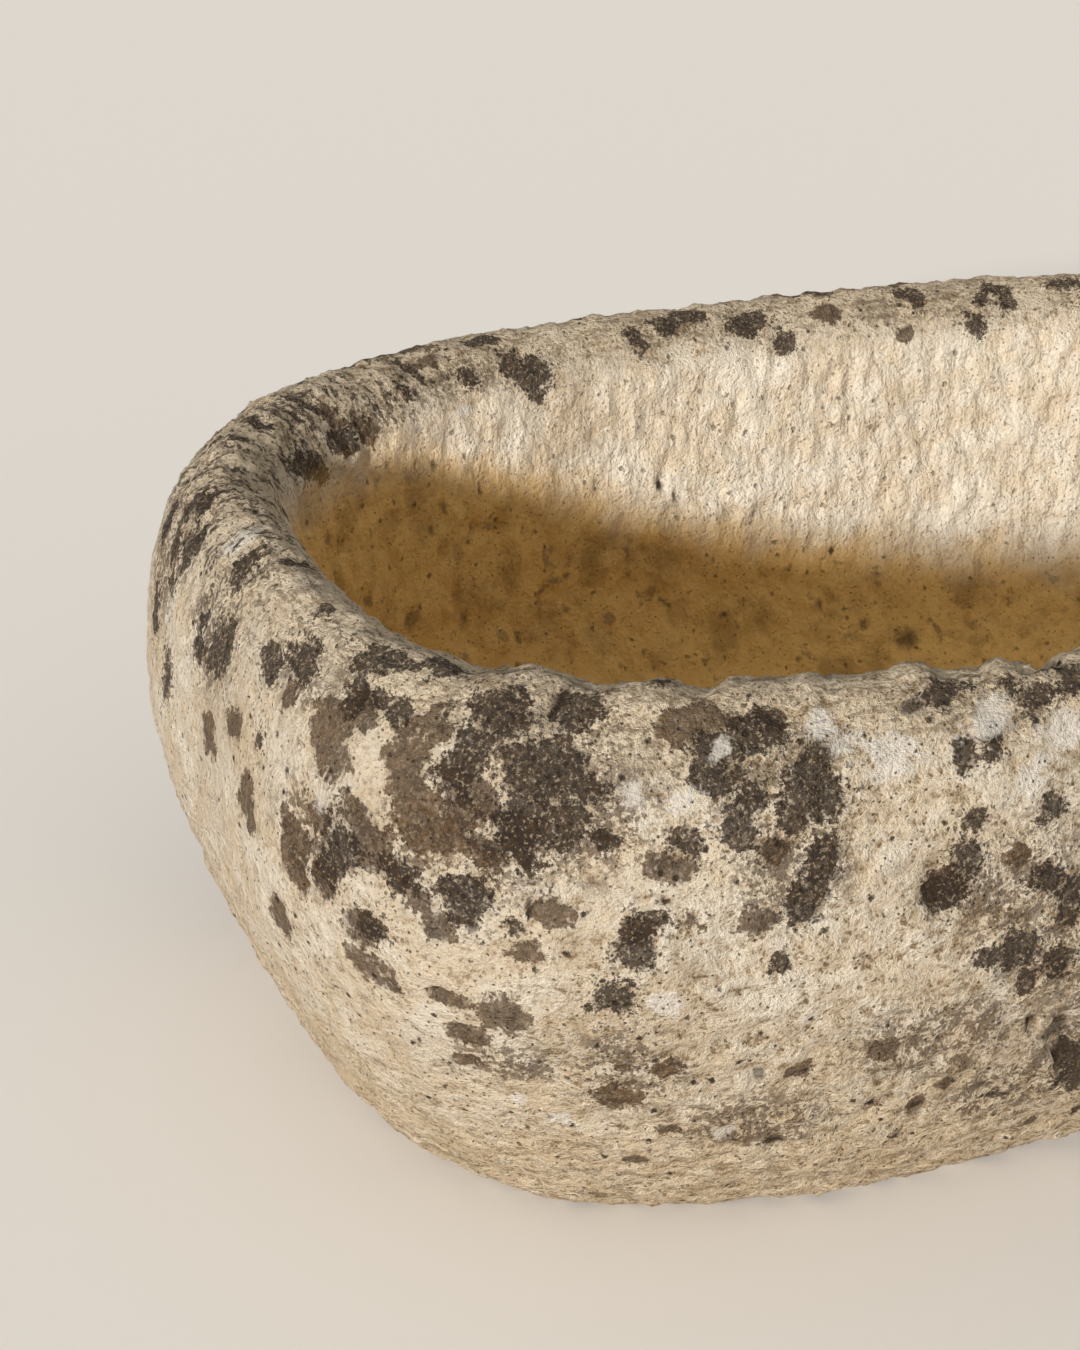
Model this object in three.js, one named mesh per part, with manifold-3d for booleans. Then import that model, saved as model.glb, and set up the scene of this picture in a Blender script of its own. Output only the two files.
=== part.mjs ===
// A stone jardiniere: a long rounded trough carved by hand from one block of shelly limestone, and the
// turned oak bung that closes the drain hole in its floor.
//
// Millimetres, +Z up. The origin is on the ground under the middle of the trough. +X runs along its
// length.

import * as THREE from "three";
import { mergeVertices } from "three/addons/utils/BufferGeometryUtils.js";
import Module from "manifold-3d";

// The block. Its belly is the widest line round it, and its crest the highest.
const BELLY_LENGTH = 767;
const BELLY_WIDTH = 487;
const CREST_HEIGHT = 250;
const BELLY_HEIGHT = 151;

// How far the crest and the foot lie inside the belly, at the ends and along the sides.
const CREST_INSET_AT_ENDS = 33;
const CREST_INSET_AT_SIDES = 32;
const FOOT_INSET_AT_ENDS = 72;
const FOOT_INSET_AT_SIDES = 62;

// The basin. A rounded lip runs down from the crest to a wall that leans in, and a cove joins the
// wall to the floor.
const LIP_RUN = 28;
const LIP_DROP = 36;
const WALL_LEAN = 14;
const COVE_RUN = 72;
const COVE_RISE = 72;
const FLOOR_THICKNESS = 58;

// The plan of each line is a superellipse: 2 is an ellipse, and a larger number is squarer.
const FOOT_SQUARENESS = 3.13;
const BELLY_SQUARENESS = 3.25;
const CREST_SQUARENESS = 3.01;
const FLOOR_SQUARENESS = 2.6;

// The curve from the foot up to the belly, in the same way: 1 is a straight slope, 2 a quarter ellipse.
const UNDERSIDE_FULLNESS = 1.48;

// The block is not true. Its left end and its front stand higher than its middle, its right end and
// its back as much lower, and both ends bow towards the front.
const LEFT_END_RISE = 3;
const FRONT_RISE = 3;
const END_BOW = 18;

// The drain hole, by its diameter at the floor and how much less it is at the foot, and its turned
// bung. The head is what a hand pulls.
const DRAIN_DIAMETER = 44;
const DRAIN_TAPER = 10;
const BUNG_SEAT_GAP = 0.3;
const BUNG_RECESS = 5;
const BUNG_CHAMFER = 2;
const BUNG_SHOULDER_HEIGHT = 5;
const BUNG_NECK_DIAMETER = 24;
const BUNG_NECK_HEIGHT = 12;
const BUNG_HEAD_DIAMETER = 36;
const BUNG_HEAD_HEIGHT = 18;

// Cuts run this far past the faces that they go through.
const OVERRUN = 20;

// Facets.
const COLUMNS = 96;
const UNDERSIDE_COURSES = 10;
const SHOULDER_COURSES = 9;
const LIP_COURSES = 6;
const WALL_COURSES = 3;
const COVE_COURSES = 7;
const TURNED_SIDES = 32;
const CURVE_STEPS = 5;

// A course is one ring of stone at one height. This gives its points, anticlockwise from above.
function courseRing({ halfLength, halfWidth, squareness, height }) {
  const ring = [];
  for (let column = 0; column < COLUMNS; column += 1) {
    const angle = (column / COLUMNS) * Math.PI * 2;
    const along = Math.cos(angle);
    const across = Math.sin(angle);
    const power = Math.abs(along) ** squareness + Math.abs(across) ** squareness;
    const reach = power ** (-1 / squareness);
    ring.push(outOfTrue(halfLength * along * reach, halfWidth * across * reach, height));
  }
  return ring;
}

// Moves a point of a true, symmetrical block to where it lies on this one.
function outOfTrue(x, y, z) {
  const along = x / (BELLY_LENGTH / 2);
  const across = y / (BELLY_WIDTH / 2);
  const rise = -LEFT_END_RISE * along - FRONT_RISE * across;
  return [x, y - END_BOW * along ** 2, z * (1 + rise / CREST_HEIGHT)];
}

// The value a share of the way from one number to another.
function between(from, to, share) {
  return from + (to - from) * share;
}

// Every course of the block, from the foot up the outside, over the crest and down to the floor.
function troughCourses() {
  const belly = { length: BELLY_LENGTH / 2, width: BELLY_WIDTH / 2 };
  const foot = { length: belly.length - FOOT_INSET_AT_ENDS, width: belly.width - FOOT_INSET_AT_SIDES };
  const crest = { length: belly.length - CREST_INSET_AT_ENDS, width: belly.width - CREST_INSET_AT_SIDES };
  const wallTop = CREST_HEIGHT - LIP_DROP;
  const wallFoot = FLOOR_THICKNESS + COVE_RISE;
  const courses = [];
  const add = (halfLength, halfWidth, squareness, height) =>
    courses.push({ halfLength, halfWidth, squareness, height });

  for (let i = 0; i < UNDERSIDE_COURSES; i += 1) {
    const angle = (i / UNDERSIDE_COURSES) * (Math.PI / 2);
    const out = Math.sin(angle) ** (2 / UNDERSIDE_FULLNESS);
    const up = 1 - Math.cos(angle) ** (2 / UNDERSIDE_FULLNESS);
    add(
      between(foot.length, belly.length, out),
      between(foot.width, belly.width, out),
      between(FOOT_SQUARENESS, BELLY_SQUARENESS, out),
      BELLY_HEIGHT * up,
    );
  }
  for (let i = 0; i < SHOULDER_COURSES; i += 1) {
    const angle = (i / SHOULDER_COURSES) * (Math.PI / 2);
    const out = Math.cos(angle);
    add(
      between(crest.length, belly.length, out),
      between(crest.width, belly.width, out),
      between(CREST_SQUARENESS, BELLY_SQUARENESS, out),
      between(BELLY_HEIGHT, CREST_HEIGHT, Math.sin(angle)),
    );
  }
  for (let i = 0; i < LIP_COURSES; i += 1) {
    const angle = (i / LIP_COURSES) * (Math.PI / 2);
    const inset = LIP_RUN * Math.sin(angle);
    add(
      crest.length - inset,
      crest.width - inset,
      CREST_SQUARENESS,
      between(wallTop, CREST_HEIGHT, Math.cos(angle)),
    );
  }
  for (let i = 0; i < WALL_COURSES; i += 1) {
    const share = i / WALL_COURSES;
    const inset = LIP_RUN + WALL_LEAN * share;
    add(
      crest.length - inset,
      crest.width - inset,
      CREST_SQUARENESS,
      between(wallTop, wallFoot, share),
    );
  }
  for (let i = 0; i <= COVE_COURSES; i += 1) {
    const angle = (i / COVE_COURSES) * (Math.PI / 2);
    const inset = LIP_RUN + WALL_LEAN + COVE_RUN * (1 - Math.cos(angle));
    add(
      crest.length - inset,
      crest.width - inset,
      between(CREST_SQUARENESS, FLOOR_SQUARENESS, i / COVE_COURSES),
      between(wallFoot, FLOOR_THICKNESS, Math.sin(angle)),
    );
  }
  return courses;
}

// One closed skin over all the courses, with the foot and the floor closed from their middles.
function carvedBlock() {
  const courses = troughCourses();
  const positions = courses.flatMap((course) => courseRing(course).flat());
  const footMiddle = courses.length * COLUMNS;
  const floorMiddle = footMiddle + 1;
  positions.push(...outOfTrue(0, 0, 0), ...outOfTrue(0, 0, FLOOR_THICKNESS));

  const faces = [];
  const floorRing = (courses.length - 1) * COLUMNS;
  for (let column = 0; column < COLUMNS; column += 1) {
    const next = (column + 1) % COLUMNS;
    faces.push(footMiddle, next, column);
    for (let ring = 0; ring < floorRing; ring += COLUMNS) {
      faces.push(ring + column, ring + next, ring + COLUMNS + next);
      faces.push(ring + column, ring + COLUMNS + next, ring + COLUMNS + column);
    }
    faces.push(floorMiddle, floorRing + column, floorRing + next);
  }

  const block = new THREE.BufferGeometry();
  block.setAttribute("position", new THREE.Float32BufferAttribute(positions, 3));
  block.setIndex(faces);
  block.computeBoundingBox();
  const middle = block.boundingBox.getCenter(new THREE.Vector3());
  block.translate(-middle.x, -middle.y, 0);
  return block;
}

// The radius of the drain hole's wall at a height above the foot.
function drainRadius(height) {
  return (DRAIN_DIAMETER - DRAIN_TAPER * (1 - height / FLOOR_THICKNESS)) / 2;
}

// What the drill takes out of the floor: a cone that runs past the floor and the foot.
function drainCut() {
  const bottom = -OVERRUN;
  const top = FLOOR_THICKNESS + OVERRUN;
  const profile = [
    new THREE.Vector2(0, bottom),
    new THREE.Vector2(drainRadius(bottom), bottom),
    new THREE.Vector2(drainRadius(top), top),
    new THREE.Vector2(0, top),
  ];
  return new THREE.LatheGeometry(profile, TURNED_SIDES).rotateX(Math.PI / 2);
}

// The bung, from its lower end up: a shank that follows the drain hole, a shoulder, a neck and a head.
function turnedBung() {
  const shoulder = FLOOR_THICKNESS + BUNG_SHOULDER_HEIGHT;
  const neck = shoulder + BUNG_NECK_HEIGHT;
  const top = neck + BUNG_HEAD_HEIGHT;
  const lowRadius = drainRadius(BUNG_RECESS) - BUNG_SEAT_GAP;
  const shoulderRadius = drainRadius(shoulder) - BUNG_SEAT_GAP;
  const neckRadius = BUNG_NECK_DIAMETER / 2;
  const headRadius = BUNG_HEAD_DIAMETER / 2;
  const headMiddle = (neck + top) / 2;

  const outline = new THREE.Path();
  outline.moveTo(0, BUNG_RECESS);
  outline.lineTo(lowRadius - BUNG_CHAMFER, BUNG_RECESS);
  outline.lineTo(drainRadius(BUNG_RECESS + BUNG_CHAMFER) - BUNG_SEAT_GAP, BUNG_RECESS + BUNG_CHAMFER);
  outline.lineTo(shoulderRadius, shoulder);
  outline.quadraticCurveTo(neckRadius, shoulder, neckRadius, neck);
  outline.quadraticCurveTo(headRadius, neck, headRadius, headMiddle);
  outline.quadraticCurveTo(headRadius, top, 0, top);
  const bung = new THREE.LatheGeometry(outline.getPoints(CURVE_STEPS), TURNED_SIDES);
  return bung.rotateX(Math.PI / 2).translate(0, 0, -BUNG_RECESS);
}

const wasm = await Module();
wasm.setup();

// A closed geometry as a solid that can be cut, and back.
function toSolid(geometry) {
  const bare = new THREE.BufferGeometry();
  bare.setAttribute("position", geometry.getAttribute("position").clone());
  bare.setIndex(geometry.getIndex());
  const merged = mergeVertices(bare);
  return new wasm.Manifold(
    new wasm.Mesh({
      numProp: 3,
      vertProperties: merged.getAttribute("position").array,
      triVerts: new Uint32Array(merged.getIndex().array),
    }),
  );
}

function toGeometry(solid) {
  const { vertProperties, triVerts } = solid.getMesh();
  const geometry = new THREE.BufferGeometry();
  geometry.setAttribute("position", new THREE.BufferAttribute(vertProperties, 3));
  geometry.setIndex(new THREE.BufferAttribute(triVerts, 1));
  geometry.computeVertexNormals();
  return geometry;
}

const limestone = new THREE.MeshStandardMaterial({ color: 0xd8c7a6, roughness: 0.95, metalness: 0 });
const oak = new THREE.MeshStandardMaterial({ color: 0x7d5f42, roughness: 0.8, metalness: 0 });

const trough = new THREE.Mesh(toGeometry(toSolid(carvedBlock()).subtract(toSolid(drainCut()))), limestone);
trough.name = "stone_trough";

const bung = new THREE.Mesh(turnedBung(), oak);
bung.name = "drain_bung";
bung.position.z = BUNG_RECESS;

const jardiniere = new THREE.Group();
jardiniere.add(trough, bung);

export default jardiniere;
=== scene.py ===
# A stone jardiniere: a long rounded trough carved by hand from one block of shelly limestone, and
# the turned oak bung that closes its drain hole. Metres, +Z up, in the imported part's own frame.

import math
import random

import bpy
import numpy as np
from mathutils import Matrix, Vector, noise as turbulence


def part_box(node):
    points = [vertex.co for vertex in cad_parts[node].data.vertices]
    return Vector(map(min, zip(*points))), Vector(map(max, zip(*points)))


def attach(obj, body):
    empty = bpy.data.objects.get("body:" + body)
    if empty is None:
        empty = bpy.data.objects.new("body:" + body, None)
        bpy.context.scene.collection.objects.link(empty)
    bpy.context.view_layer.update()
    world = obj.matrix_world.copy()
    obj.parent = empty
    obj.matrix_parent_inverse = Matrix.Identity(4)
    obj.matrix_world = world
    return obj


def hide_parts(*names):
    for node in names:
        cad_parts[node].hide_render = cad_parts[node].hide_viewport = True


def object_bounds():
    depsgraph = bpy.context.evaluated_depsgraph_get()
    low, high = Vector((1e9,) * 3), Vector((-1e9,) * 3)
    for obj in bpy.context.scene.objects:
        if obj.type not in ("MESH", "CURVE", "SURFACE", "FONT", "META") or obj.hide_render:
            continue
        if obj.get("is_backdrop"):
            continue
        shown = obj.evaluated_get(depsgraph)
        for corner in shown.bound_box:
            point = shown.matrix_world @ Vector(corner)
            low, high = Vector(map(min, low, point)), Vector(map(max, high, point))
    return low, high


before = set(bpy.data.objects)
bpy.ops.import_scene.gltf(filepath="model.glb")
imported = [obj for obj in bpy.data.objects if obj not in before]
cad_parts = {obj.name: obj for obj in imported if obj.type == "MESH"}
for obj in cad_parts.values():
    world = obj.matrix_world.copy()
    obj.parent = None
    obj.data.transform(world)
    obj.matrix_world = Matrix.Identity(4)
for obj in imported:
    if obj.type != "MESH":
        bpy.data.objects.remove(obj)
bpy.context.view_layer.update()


# The camera, at the photograph's viewing angle: in front of the trough and a little to its left, looking
# down over the near rim into the basin. The right-hand end of the trough lies outside the picture.
TURN = math.radians(24.35)
DIP = math.radians(26.83)
ROLL = math.radians(1.93)
STAND = Vector((-0.6245, -0.8878, 0.6581))
LENS_MM = 66.67

forward = Vector((math.sin(TURN) * math.cos(DIP), math.cos(TURN) * math.cos(DIP), -math.sin(DIP)))
level_right = Vector((math.cos(TURN), -math.sin(TURN), 0))
level_up = level_right.cross(forward)
right = level_right * math.cos(ROLL) + level_up * math.sin(ROLL)
up = level_up * math.cos(ROLL) - level_right * math.sin(ROLL)
lens = bpy.data.cameras.new("photo_camera")
lens.lens = LENS_MM
lens.sensor_width = 36
lens.clip_start = 0.05
camera = bpy.data.objects.new("photo_camera", lens)
camera.matrix_world = Matrix.Translation(STAND) @ Matrix((right, up, -forward)).transposed().to_4x4()
bpy.context.scene.collection.objects.link(camera)
bpy.context.scene.camera = camera


# The trough. It is one block of stone. Its outline from above is an oblong with round ends, and the
# same section runs all the way round it: foot, belly, crest, lip, wall, cove and floor, and down
# through the drain hole. The section is carved round the plan, then tooled and weathered.
trough_low, trough_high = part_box("stone_trough")
BELLY_HALF_LENGTH = (trough_high.x - trough_low.x) / 2
BELLY_HALF_WIDTH = 0.2435
BELLY_HEIGHT = 0.151
CREST_HEIGHT = 0.250
CREST_INSET_AT_ENDS = 0.033
CREST_INSET_AT_SIDES = 0.032
FOOT_INSET_AT_ENDS = 0.072
FOOT_INSET_AT_SIDES = 0.062
LIP_RUN = 0.028
LIP_DROP = 0.036
WALL_LEAN = 0.014
COVE_RUN = 0.072
COVE_RISE = 0.072
FLOOR_THICKNESS = 0.058
DRAIN_RADIUS_AT_FLOOR = 0.022
DRAIN_RADIUS_AT_FOOT = 0.017
FOOT_SQUARENESS = 3.13
BELLY_SQUARENESS = 3.25
CREST_SQUARENESS = 3.01
FLOOR_SQUARENESS = 2.6
ROUND_SQUARENESS = 2.0
UNDERSIDE_FULLNESS = 1.48
LEFT_END_RISE = 0.003
FRONT_RISE = 0.003
END_BOW = 0.018
STONE_COLUMNS = 760
FOOT_ROWS = 30
UNDERSIDE_ROWS = 56
SHOULDER_ROWS = 46
LIP_ROWS = 22
WALL_ROWS = 34
COVE_ROWS = 36
FLOOR_ROWS = 24
DRAIN_ROWS = 8
FINE_STEPS = 20001
MERGE_GAP = 0.00001
POCKS_TO_A_METRE = 88.0
MOST_TRIANGLES = 198000


def between(start, end, share):
    return start + (end - start) * share


def trough_section():
    """The section as rows of (half length, half width, squareness, height), from the foot's drain
    mouth outwards, over the crest and back in to the drain."""
    belly = (BELLY_HALF_LENGTH, BELLY_HALF_WIDTH)
    foot = (belly[0] - FOOT_INSET_AT_ENDS, belly[1] - FOOT_INSET_AT_SIDES)
    crest = (belly[0] - CREST_INSET_AT_ENDS, belly[1] - CREST_INSET_AT_SIDES)
    wall_top = CREST_HEIGHT - LIP_DROP
    wall_foot = FLOOR_THICKNESS + COVE_RISE
    floor_inset = LIP_RUN + WALL_LEAN + COVE_RUN
    floor = (crest[0] - floor_inset, crest[1] - floor_inset)
    quarter = math.pi / 2

    def ring(inner, outer, share, squareness, height):
        return (between(inner[0], outer[0], share), between(inner[1], outer[1], share), squareness, height)

    def inset_ring(inset, squareness, height):
        return (crest[0] - inset, crest[1] - inset, squareness, height)

    def steps(count):
        return [i / count for i in range(count)]

    rows = []
    mouth = (DRAIN_RADIUS_AT_FOOT,) * 2
    for share in steps(FOOT_ROWS):
        rows.append(ring(mouth, foot, share, between(ROUND_SQUARENESS, FOOT_SQUARENESS, share), 0))
    for share in steps(UNDERSIDE_ROWS):
        out = math.sin(share * quarter) ** (2 / UNDERSIDE_FULLNESS)
        rise = 1 - math.cos(share * quarter) ** (2 / UNDERSIDE_FULLNESS)
        squareness = between(FOOT_SQUARENESS, BELLY_SQUARENESS, out)
        rows.append(ring(foot, belly, out, squareness, BELLY_HEIGHT * rise))
    for share in steps(SHOULDER_ROWS):
        out, rise = math.cos(share * quarter), math.sin(share * quarter)
        squareness = between(CREST_SQUARENESS, BELLY_SQUARENESS, out)
        rows.append(ring(crest, belly, out, squareness, between(BELLY_HEIGHT, CREST_HEIGHT, rise)))
    crest_row = len(rows)
    for share in steps(LIP_ROWS):
        inset, rise = LIP_RUN * math.sin(share * quarter), math.cos(share * quarter)
        rows.append(inset_ring(inset, CREST_SQUARENESS, between(wall_top, CREST_HEIGHT, rise)))
    for share in steps(WALL_ROWS):
        height = between(wall_top, wall_foot, share)
        rows.append(inset_ring(LIP_RUN + WALL_LEAN * share, CREST_SQUARENESS, height))
    for share in steps(COVE_ROWS):
        inset = LIP_RUN + WALL_LEAN + COVE_RUN * (1 - math.cos(share * quarter))
        height = between(wall_foot, FLOOR_THICKNESS, math.sin(share * quarter))
        rows.append(inset_ring(inset, between(CREST_SQUARENESS, FLOOR_SQUARENESS, share), height))
    mouth = (DRAIN_RADIUS_AT_FLOOR,) * 2
    for share in steps(FLOOR_ROWS):
        squareness = between(FLOOR_SQUARENESS, ROUND_SQUARENESS, share)
        rows.append(ring(floor, mouth, share, squareness, FLOOR_THICKNESS))
    for share in steps(DRAIN_ROWS) + [1]:
        radius = between(DRAIN_RADIUS_AT_FLOOR, DRAIN_RADIUS_AT_FOOT, share)
        rows.append((radius, radius, ROUND_SQUARENESS, between(FLOOR_THICKNESS, 0, share)))
    return rows, crest_row


def reach(cosine, sine, squareness):
    """How far out a superellipse lies in one direction."""
    return (abs(cosine) ** squareness + abs(sine) ** squareness) ** (-1 / squareness)


def points_with(name, places, **values):
    """A mesh of loose points, each with some named numbers."""
    mesh = bpy.data.meshes.new(name)
    mesh.from_pydata([tuple(place) for place in places], [], [])
    for key, numbers in values.items():
        mesh.attributes.new(key, "FLOAT", "POINT").data.foreach_set("value", [float(n) for n in numbers])
    made = bpy.data.objects.new(name, mesh)
    bpy.context.scene.collection.objects.link(made)
    return made


def trough_plan():
    """The directions of the columns, evenly spaced along the belly, and how far round it each one
    is from the middle of the left end, towards the front."""
    fine = np.linspace(0, 2 * math.pi, FINE_STEPS)
    spread = [reach(math.cos(angle), math.sin(angle), BELLY_SQUARENESS) for angle in fine]
    x = BELLY_HALF_LENGTH * np.cos(fine) * spread
    y = BELLY_HALF_WIDTH * np.sin(fine) * spread
    run = np.concatenate([[0], np.cumsum(np.hypot(np.diff(x), np.diff(y)))])
    even = np.linspace(0, run[-1], STONE_COLUMNS + 1)
    return np.interp(even, run, fine), even - run[-1] / 2


class Wire:
    """One value on its way through a node tree. Sums of wires are written as sums of numbers are."""

    def __init__(self, tree, socket):
        self.tree, self.socket = tree, socket

    def worked(self, operation, *others):
        made = self.tree.nodes.new("ShaderNodeMath")
        made.operation = operation
        for place, value in enumerate((self, *others)):
            feed(value, made.inputs[place])
        return Wire(self.tree, made.outputs[0])

    def __add__(self, other):
        return self.worked("ADD", other)

    def __sub__(self, other):
        return self.worked("SUBTRACT", other)

    def __rsub__(self, other):
        return (self * -1).worked("ADD", other)

    def __mul__(self, other):
        return self.worked("MULTIPLY", other)

    def __truediv__(self, other):
        return self.worked("DIVIDE", other)

    def __pow__(self, other):
        return self.worked("POWER", other)

    __radd__ = __add__
    __rmul__ = __mul__


def feed(value, socket):
    """Puts a wire or a plain value into a socket."""
    if isinstance(value, Wire):
        value.tree.links.new(value.socket, socket)
    else:
        socket.default_value = value


def node(tree, kind, settings=(), inputs=(), out=0):
    """A new node with its settings and inputs by name, as the wire of one of its outputs."""
    made = tree.nodes.new(kind)
    for key, value in dict(settings).items():
        setattr(made, key, value)
    for key, value in dict(inputs).items():
        feed(value, made.inputs[key])
    return Wire(tree, made.outputs[out])


def noise(tree, place, scale, detail=2.0, roughness=0.5, distortion=0.0):
    """Cloudy noise, 0 to 1 and mostly near the middle. The scale is blobs to the metre."""
    sizes = {"Scale": scale, "Detail": detail, "Roughness": roughness, "Distortion": distortion}
    return node(tree, "ShaderNodeTexNoise", {}, {"Vector": place, **sizes})


def cells(tree, place, scale, out="Distance", randomness=1.0, feature="F1"):
    """Cells round scattered points: the distance to the nearest one, or the cell's own colour."""
    sizes = {"Scale": scale, "Randomness": randomness}
    return node(tree, "ShaderNodeTexVoronoi", {"feature": feature}, {"Vector": place, **sizes}, out)


def ramp(wire, low, high, start=0.0, end=1.0):
    """A smooth step from start to end as the wire goes from low to high."""
    made = wire.tree.nodes.new("ShaderNodeMapRange")
    made.interpolation_type = "SMOOTHSTEP"
    for place, value in enumerate((wire, low, high, start, end)):
        feed(value, made.inputs[place])
    return Wire(wire.tree, made.outputs[0])


def at_place(tree, x, y, z=0.0):
    return node(tree, "ShaderNodeCombineXYZ", {}, {"X": x, "Y": y, "Z": z}, "Vector")


def parts_of(tree, place):
    """The three numbers of a place, each as a wire."""
    made = tree.nodes.new("ShaderNodeSeparateXYZ")
    feed(place, made.inputs[0])
    return [Wire(tree, part) for part in made.outputs]


def stretched(tree, place, across, along, upwards):
    """A place with each direction squeezed or stretched, for patterns longer one way."""
    made = tree.nodes.new("ShaderNodeVectorMath")
    made.operation = "MULTIPLY"
    feed(place, made.inputs[0])
    made.inputs[1].default_value = (across, along, upwards)
    return Wire(tree, made.outputs[0])


def carve_trough():
    """The tree that sweeps the section round the plan, closes it, and tools and weathers it."""
    tree = bpy.data.node_groups.new("carve_trough", "GeometryNodeTree")
    for name, kind in (
        ("Plan", "NodeSocketObject"),
        ("Section", "NodeSocketObject"),
        ("Columns", "NodeSocketInt"),
        ("Rows", "NodeSocketInt"),
        ("Half Length", "NodeSocketFloat"),
        ("End Bow", "NodeSocketFloat"),
        ("End Rise Share", "NodeSocketFloat"),
        ("Half Width", "NodeSocketFloat"),
        ("Front Rise Share", "NodeSocketFloat"),
        ("Lump Depth", "NodeSocketFloat"),
        ("Rough Depth", "NodeSocketFloat"),
        ("Pocking Depth", "NodeSocketFloat"),
        ("Chisel Depth", "NodeSocketFloat"),
        ("Crest Wear", "NodeSocketFloat"),
        ("Stone", "NodeSocketMaterial"),
    ):
        tree.interface.new_socket(name=name, in_out="INPUT", socket_type=kind)
    tree.interface.new_socket(name="Geometry", in_out="OUTPUT", socket_type="NodeSocketGeometry")
    given = tree.nodes.new("NodeGroupInput")
    size = {socket.name: Wire(tree, socket) for socket in given.outputs if socket.name}

    # One flat grid becomes the skin: each column takes its direction from the plan, and each row its place
    # in the section.
    grid = node(tree, "GeometryNodeMeshGrid", {}, {
        "Size X": 1.0, "Size Y": 1.0, "Vertices X": size["Columns"], "Vertices Y": size["Rows"],
    })
    place = node(tree, "GeometryNodeInputPosition")
    on_grid = parts_of(tree, place)
    column = ((on_grid[0] + 0.5) * (size["Columns"] - 1)).worked("ROUND")
    row = ((on_grid[1] + 0.5) * (size["Rows"] - 1)).worked("ROUND")

    def picked(source, index, name):
        points = node(tree, "GeometryNodeObjectInfo", {}, {"Object": size[source]}, "Geometry")
        value = node(tree, "GeometryNodeInputNamedAttribute", {"data_type": "FLOAT"}, {"Name": name})
        return node(tree, "GeometryNodeSampleIndex", {"data_type": "FLOAT", "domain": "POINT"},
                    {"Geometry": points, "Value": value, "Index": index})

    angle = picked("Plan", column, "angle")
    squareness = picked("Section", row, "squareness")
    cosine, sine = angle.worked("COSINE"), angle.worked("SINE")
    power = cosine.worked("ABSOLUTE") ** squareness + sine.worked("ABSOLUTE") ** squareness
    spread = power ** (squareness ** -1.0 * -1.0)
    x = picked("Section", row, "half_length") * cosine * spread
    y = picked("Section", row, "half_width") * sine * spread
    along = x / size["Half Length"]
    lean = along * size["End Rise Share"] + y / size["Half Width"] * size["Front Rise Share"]
    z = picked("Section", row, "height") * (1.0 - lean)

    def stored(geometry, name, value, kind="FLOAT", domain="POINT"):
        return node(tree, "GeometryNodeStoreNamedAttribute", {"data_type": kind, "domain": domain},
                    {"Geometry": geometry, "Name": name, "Value": value})

    def recalled(name, kind="FLOAT"):
        return node(tree, "GeometryNodeInputNamedAttribute", {"data_type": kind}, {"Name": name})

    here = at_place(tree, picked("Plan", column, "round"), picked("Section", row, "over"))
    flat = stored(grid, "rind", here, "FLOAT2", "CORNER")
    flat = stored(flat, "place_in_round", here, "FLOAT_VECTOR")
    flat = stored(flat, "over", picked("Section", row, "over"))
    swept = node(tree, "GeometryNodeSetPosition", {}, {
        "Geometry": flat, "Position": at_place(tree, x, y - along * along * size["End Bow"], z),
    })
    closed = node(tree, "GeometryNodeMergeByDistance", {}, {"Geometry": swept, "Distance": MERGE_GAP})

    # How much of each kind of work a place gets. The foot and the drain's mouth stay true.
    over = recalled("over")
    here = recalled("place_in_round", "FLOAT_VECTOR")
    rim = ramp(over.worked("ABSOLUTE"), 0.015, 0.055, 1.0, 0.0)
    basin = ramp(over, 0.015, 0.045) * ramp(over, BASIN_FLOOR_OVER, BASIN_FLOOR_OVER + 0.03, 1.0, 0.15)
    outside = ramp(over, -0.03, 0.0, 1.0, 0.0)
    skin = ramp(over, FOOT_OVER - 0.012, FOOT_OVER + 0.012)
    skin = skin * ramp(over, DRAIN_OVER - 0.02, DRAIN_OVER, 1.0, 0.0)

    # The work itself, each kind a height in metres: broad lumps, the crest's broken layers, beds and chips
    # outside, pocks where shells fell out, and the strokes of the tool down the basin's wall.
    lumps = (noise(tree, place, 9.0, 2.0) - 0.5) * 2.0 + (noise(tree, place, 30.0, 2.0) - 0.5) * 1.4 - 0.25
    lumps = lumps * size["Lump Depth"] * (outside * 0.6 + rim * 0.4 + 0.3)
    layers = (noise(tree, stretched(tree, here, 26.0, 230.0, 0.0), 1.0, 3.0, 0.6) - 0.5) * 1.2
    broken = (noise(tree, place, 80.0, 5.0, 0.66) - 0.5) * 2.2
    worn = (layers + broken) * size["Crest Wear"] * rim
    beds = noise(tree, stretched(tree, place, 1.0, 1.0, 2.4), 62.0, 6.0, 0.68) - 0.5
    chips = cells(tree, place, 95.0, feature="SMOOTH_F1") - 0.4
    rugged = ramp(noise(tree, place, 7.0, 2.0), 0.40, 0.62, 0.75, 1.5) + ramp(over, -0.20, -0.11, 0.7, 0.0)
    rugged = rugged * ramp(parts_of(tree, here)[0].worked("ABSOLUTE"), 0.08, 0.36, 0.55, 1.1)
    rough = (beds * 2.0 + chips * 0.5) * size["Rough Depth"] * outside * rugged
    ragged = cells(tree, place, POCKS_TO_A_METRE) + (noise(tree, place, 260.0, 2.0) - 0.5) * 0.5
    pocks = ramp(ragged, 0.06, 0.30, -1.0, 0.0)
    pocks = pocks * ramp(cells(tree, place, POCKS_TO_A_METRE, "Color"), 0.55, 0.66)
    pocks = pocks * size["Pocking Depth"] * (outside + rim * 0.6 + basin * 0.5)
    upright = stretched(tree, place, 1.0, 1.0, 0.62)
    strokes = cells(tree, upright, 120.0, feature="SMOOTH_F1") * 1.3 - 0.52
    strokes = strokes + (noise(tree, upright, 90.0, 3.0, 0.6) - 0.5) * 2.0
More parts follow.
